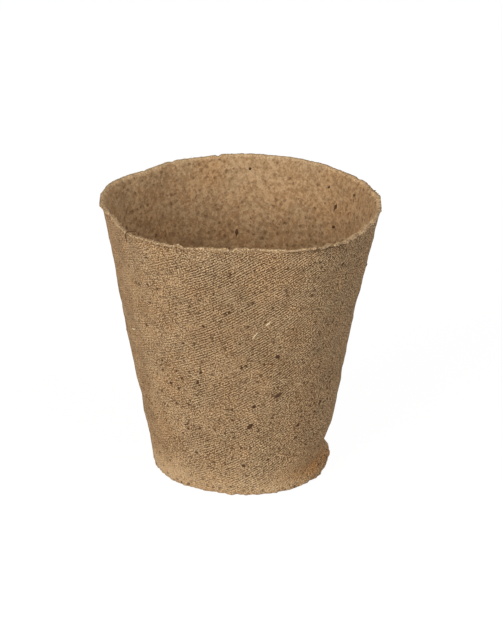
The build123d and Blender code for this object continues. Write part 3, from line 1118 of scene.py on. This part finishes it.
class PEATPOT_OT_straw_bits(Operator):
    """Makes the pale bits of straw that lie flat in the wall"""

    bl_idname = "peat_pot.straw_bits"
    bl_label = "Straw Bits"

    def execute(self, context):
        wall, finish = settings_of(context)
        shell = shell_tree()
        bits = []
        for step, (azimuth, share, length, slope) in enumerate(STRAWS):
            spot, normal = wall_spot(shell, wall, azimuth, share * wall.height, 1)
            frame_at = wall_frame(spot - normal * STRAW_SUNK * MM, normal, slope)
            line = []
            for place in range(STRAW_POINTS):
                along = length * (place / (STRAW_POINTS - 1) - 0.5)
                bend = 0.10 * sin(place * 1.1 + step)
                line.append(frame_at @ Vector((along * MM, bend * MM, 0.03 * cos(place) * MM)))
            bits.append(add_strand(line, STRAW_THICKNESS * MM, "straw"))
        piece = join_pieces(bits, "straw_bits_stalks")
        material = bit_material("straw", finish.straw, shaded(finish.straw, 1.25), 0.6, (1200, 1200, 1200))
        finish_piece(piece, "straw_bits", material, BIT_EDGES)
        return {"FINISHED"}


class PEATPOT_OT_rim_fibre(Operator):
    """Makes the loose fibre that loops over the rim"""

    bl_idname = "peat_pot.rim_fibre"
    bl_label = "Rim Fibre"

    def execute(self, context):
        wall, finish = settings_of(context)
        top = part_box("rim_fibre")[1].z
        out = outward(LOOP_AZIMUTH)
        side = Vector((-out.y, out.x, 0))
        shift = wall.shift(np.array(LOOP_READ_AT), np.array(wall.height))
        rim = float(wall.cone(wall.height) + shift + LOOP_OFF_WALL) * MM
        line = [
            out * (rim + away * MM) + side * (across * MM) + Vector((0, 0, top + above * MM))
            for away, across, above in LOOP_STEPS
        ]
        strand = join_pieces([add_strand(line, LOOP_THICKNESS * MM, "rim_fibre_loop")], "rim_fibre_loop")
        # The loose fibre is a dark fibre, darkened further as painted shade, for the shade along and under it
        dark = shaded(finish.pulp_dark, 0.7)
        material = bit_material("loose_fibre", dark, finish.pulp_dark, 0.7, (1500, 1500, 1500))
        finish_piece(strand, "rim_fibre", material, PULP_EDGES)
        return {"FINISHED"}


class PEATPOT_OT_rim_tufts(Operator):
    """Makes the crumbly tufts of pulp along the rim and round the foot"""

    bl_idname = "peat_pot.rim_tufts"
    bl_label = "Rim Tufts"

    def execute(self, context):
        wall, finish = settings_of(context)
        shell = shell_tree()
        draws = random.Random(31)
        seeds = [add_lump(1.0, 0.8, 0.8, 200 + step, detail=1, jitter=0.55) for step in range(6)]
        tufts = []
        for step in range(TUFTS):
            azimuth = draws.uniform(0, 360)
            at_foot = step % 6 == 0
            far_rim = FAR_RIM[0] < azimuth < FAR_RIM[1] and not at_foot
            if far_rim and draws.random() < 0.7:
                continue
            if at_foot:
                spot, normal = wall_spot(shell, wall, azimuth, draws.uniform(0.5, 1.6), 1)
            else:
                spot, normal = rim_spot(shell, wall, azimuth, draws.uniform(0.15, 0.9))
            size = draws.uniform(0.3, 0.6) if at_foot or far_rim else draws.uniform(0.4, 0.9)
            tuft = scatter_lump(seeds, step, spot, normal, size, draws, 0.15, (0.9, 1.8), 0.7)
            if inside_pot_box(points_of(tuft.data)):
                tufts.append(tuft)
            else:
                bpy.data.objects.remove(tuft)
        remove_pieces(seeds)
        piece = join_pieces(tufts, "rim_tufts_lumps")
        finish_piece(piece, None, tuft_material(finish), PULP_EDGES)
        return {"FINISHED"}


class PEATPOT_OT_rim_fuzz(Operator):
    """Makes the fine hairs that stand out of the rim and of the wall"""

    bl_idname = "peat_pot.rim_fuzz"
    bl_label = "Rim Fuzz"

    def execute(self, context):
        wall, finish = settings_of(context)
        shell = shell_tree()
        draws = random.Random(23)
        hairs = []
        for step in range(HAIRS):
            azimuth = draws.uniform(0, 360)
            if step % 3 < 2:
                spot, normal = rim_spot(shell, wall, azimuth, draws.uniform(0.1, 1.0))
            else:
                side = 1 if draws.random() < 0.7 else -1
                spot, normal = wall_spot(shell, wall, azimuth, draws.uniform(5, 77), side)
            frame_at = wall_frame(spot, normal, draws.uniform(0, 360))
            length = draws.uniform(0.5, 1.4)
            lift = draws.uniform(0.10, 0.40)
            sway = draws.uniform(-0.5, 0.5)
            line = [Vector((0, 0, -HAIR_ROOT))]
            for along, swing, rise in HAIR_SHARES:
                line.append(Vector((length * along, sway * swing, lift * rise)))
            line = [frame_at @ (point * MM) for point in line]
            if inside_pot_box(np.array(line)):
                hairs.append(add_strand(line, draws.uniform(0.035, 0.07) * MM, "hair"))
        piece = join_pieces(hairs, "rim_fuzz_hairs")
        material = bit_material("fuzz", finish.pulp_pale, finish.straw, 0.8, (1500, 1500, 1500))
        finish_piece(piece, None, material, PULP_EDGES)
        return {"FINISHED"}


# The camera stands where the photograph was taken from, in millimetres, and its picture is
# 502 by 642 pixels
CAMERA_AT = Vector((0, -926.59, 423.46))
CAMERA_TO = Vector((3.1307, 0, 43.4622))
CAMERA_ROLL = 0.5753
CAMERA_LENS = 198.34
SENSOR_WIDTH = 36.0
NEAREST = 0.01


def add_camera():
    camera = bpy.data.objects.new("camera", bpy.data.cameras.new("camera"))
    bpy.context.collection.objects.link(camera)
    forward = (CAMERA_TO - CAMERA_AT).normalized()
    right = forward.cross(Vector((0, 0, 1))).normalized()
    over = right.cross(forward)
    turn = radians(CAMERA_ROLL)
    rolled_right = right * cos(turn) + over * sin(turn)
    rolled_over = over * cos(turn) - right * sin(turn)
    matrix = Matrix((rolled_right, rolled_over, -forward)).transposed().to_4x4()
    matrix.translation = CAMERA_AT * MM
    camera.matrix_world = matrix
    camera.data.lens = CAMERA_LENS
    camera.data.sensor_width = SENSOR_WIDTH
    camera.data.sensor_fit = "AUTO"
    camera.data.clip_start = NEAREST
    bpy.context.scene.camera = camera


# Lamps are round and point at one place, all in metres: name, place and power in watts
LAMP_SIZE = 0.9
LAMP_TARGET = Vector((0, 0, 0.04))
LAMPS = (("key_lamp", (-0.80, -0.99, 0.63), 13.7), ("fill_lamp", (0.76, -0.64, 1.03), 6.8))


def add_lamp(name, place, energy):
    data = bpy.data.lights.new(name, "AREA")
    data.shape = "DISK"
    data.size = LAMP_SIZE
    data.energy = energy
    lamp = bpy.data.objects.new(name, data)
    bpy.context.collection.objects.link(lamp)
    lamp.location = place
    lamp.rotation_euler = (LAMP_TARGET - Vector(place)).to_track_quat("-Z", "Y").to_euler()


def seen_directly(tree):
    """1 for what the camera sees straight, by reflection or through glass."""
    path = tree.nodes.new("ShaderNodeLightPath").outputs
    seen = calc(tree, "MAXIMUM", path["Is Camera Ray"], path["Is Glossy Ray"])
    return calc(tree, "MAXIMUM", seen, path["Is Transmission Ray"])


def blend_shaders(tree, share, first, second):
    node = tree.nodes.new("ShaderNodeMixShader")
    for socket, value in zip(node.inputs, (share, first, second)):
        plug(tree, socket, value)
    return node.outputs[0]


# The floor's size and its gap below the foot, in metres
FLOOR_SIZE = 6.0
FLOOR_GAP = 0.05 * MM

# The floor's grey, its glow and the share of the glow that is seen, and the world's two strengths
FLOOR_GREY = 0.82
FLOOR_GLOW = 1.10
GLOW_SHARE = 0.86
SOFT_LIGHT = 0.20
WHITE_BACKGROUND = 1.05


def floor_material():
    """Pale paper that glows where it is seen, and is clear from below, to show the underside."""
    material = bpy.data.materials.new("pale_floor")
    tree = bare_tree(material)
    paper = add_node(tree, "ShaderNodeBsdfDiffuse", {"Color": (FLOOR_GREY, FLOOR_GREY, FLOOR_GREY, 1)})
    glow = add_node(tree, "ShaderNodeEmission", {"Color": (1, 1, 1, 1), "Strength": FLOOR_GLOW})
    share = calc(tree, "MULTIPLY", seen_directly(tree), GLOW_SHARE)
    above = blend_shaders(tree, share, paper.outputs[0], glow.outputs[0])
    from_below = tree.nodes.new("ShaderNodeNewGeometry").outputs["Backfacing"]
    clear = tree.nodes.new("ShaderNodeBsdfTransparent").outputs[0]
    add_node(tree, "ShaderNodeOutputMaterial", {"Surface": blend_shaders(tree, from_below, above, clear)})
    return material


class PEATPOT_OT_stage(Operator):
    """Makes the floor, the lamps, the white background and the camera"""

    bl_idname = "peat_pot.stage"
    bl_label = "Stage"

    def execute(self, context):
        select_nothing()
        bpy.ops.mesh.primitive_plane_add(size=FLOOR_SIZE, location=(0, 0, -FLOOR_GAP))
        floor = context.object
        floor.name = "floor"
        floor.data.materials.append(floor_material())

        world = bpy.data.worlds.new("studio")
        context.scene.world = world
        tree = bare_tree(world)
        soft = add_node(tree, "ShaderNodeBackground", {"Color": (1, 0.99, 0.97, 1), "Strength": SOFT_LIGHT})
        white = add_node(tree, "ShaderNodeBackground", {"Color": (1, 1, 1, 1), "Strength": WHITE_BACKGROUND})
        blend = blend_shaders(tree, seen_directly(tree), soft.outputs[0], white.outputs[0])
        add_node(tree, "ShaderNodeOutputWorld", {"Surface": blend})

        for lamp in LAMPS:
            add_lamp(*lamp)
        context.scene.view_settings.view_transform = "Standard"
        add_camera()
        return {"FINISHED"}


class PEATPOT_PT_panel(Panel):
    """Lists the pot's pieces in the order in which they are made"""

    bl_idname = "PEATPOT_PT_panel"
    bl_label = "Peat Pot"
    bl_space_type = "VIEW_3D"
    bl_region_type = "UI"
    bl_category = "Peat Pot"

    def draw(self, context):
        for group in (context.scene.peat_pot_sizes, context.scene.peat_pot_finish):
            for name in group.__annotations__:
                self.layout.prop(group, name)
        for step in STEPS:
            self.layout.operator(step.bl_idname)


STEPS = (
    PEATPOT_OT_stage,
    PEATPOT_OT_wall,
    PEATPOT_OT_bark_crumbs,
    PEATPOT_OT_wood_slivers,
    PEATPOT_OT_straw_bits,
    PEATPOT_OT_rim_fibre,
    PEATPOT_OT_rim_tufts,
    PEATPOT_OT_rim_fuzz,
)
CLASSES = (PeatPotSizes, PeatPotFinish, *STEPS, PEATPOT_PT_panel)


def register():
    for item in CLASSES:
        bpy.utils.register_class(item)
    bpy.types.Scene.peat_pot_sizes = PointerProperty(type=PeatPotSizes)
    bpy.types.Scene.peat_pot_finish = PointerProperty(type=PeatPotFinish)


def unregister():
    del bpy.types.Scene.peat_pot_finish
    del bpy.types.Scene.peat_pot_sizes
    for item in reversed(CLASSES):
        bpy.utils.unregister_class(item)


def main():
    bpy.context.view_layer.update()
    register()
    build_wire_imprint()
    build_pulp_mottle()
    build_pressed_fibres()
    build_bark_specks()
    bpy.ops.peat_pot.stage()
    bpy.ops.peat_pot.wall()
    bpy.ops.peat_pot.bark_crumbs()
    bpy.ops.peat_pot.wood_slivers()
    bpy.ops.peat_pot.straw_bits()
    bpy.ops.peat_pot.rim_fibre()
    bpy.ops.peat_pot.rim_tufts()
    bpy.ops.peat_pot.rim_fuzz()
    select_nothing()


if __name__ == "__main__":
    main()
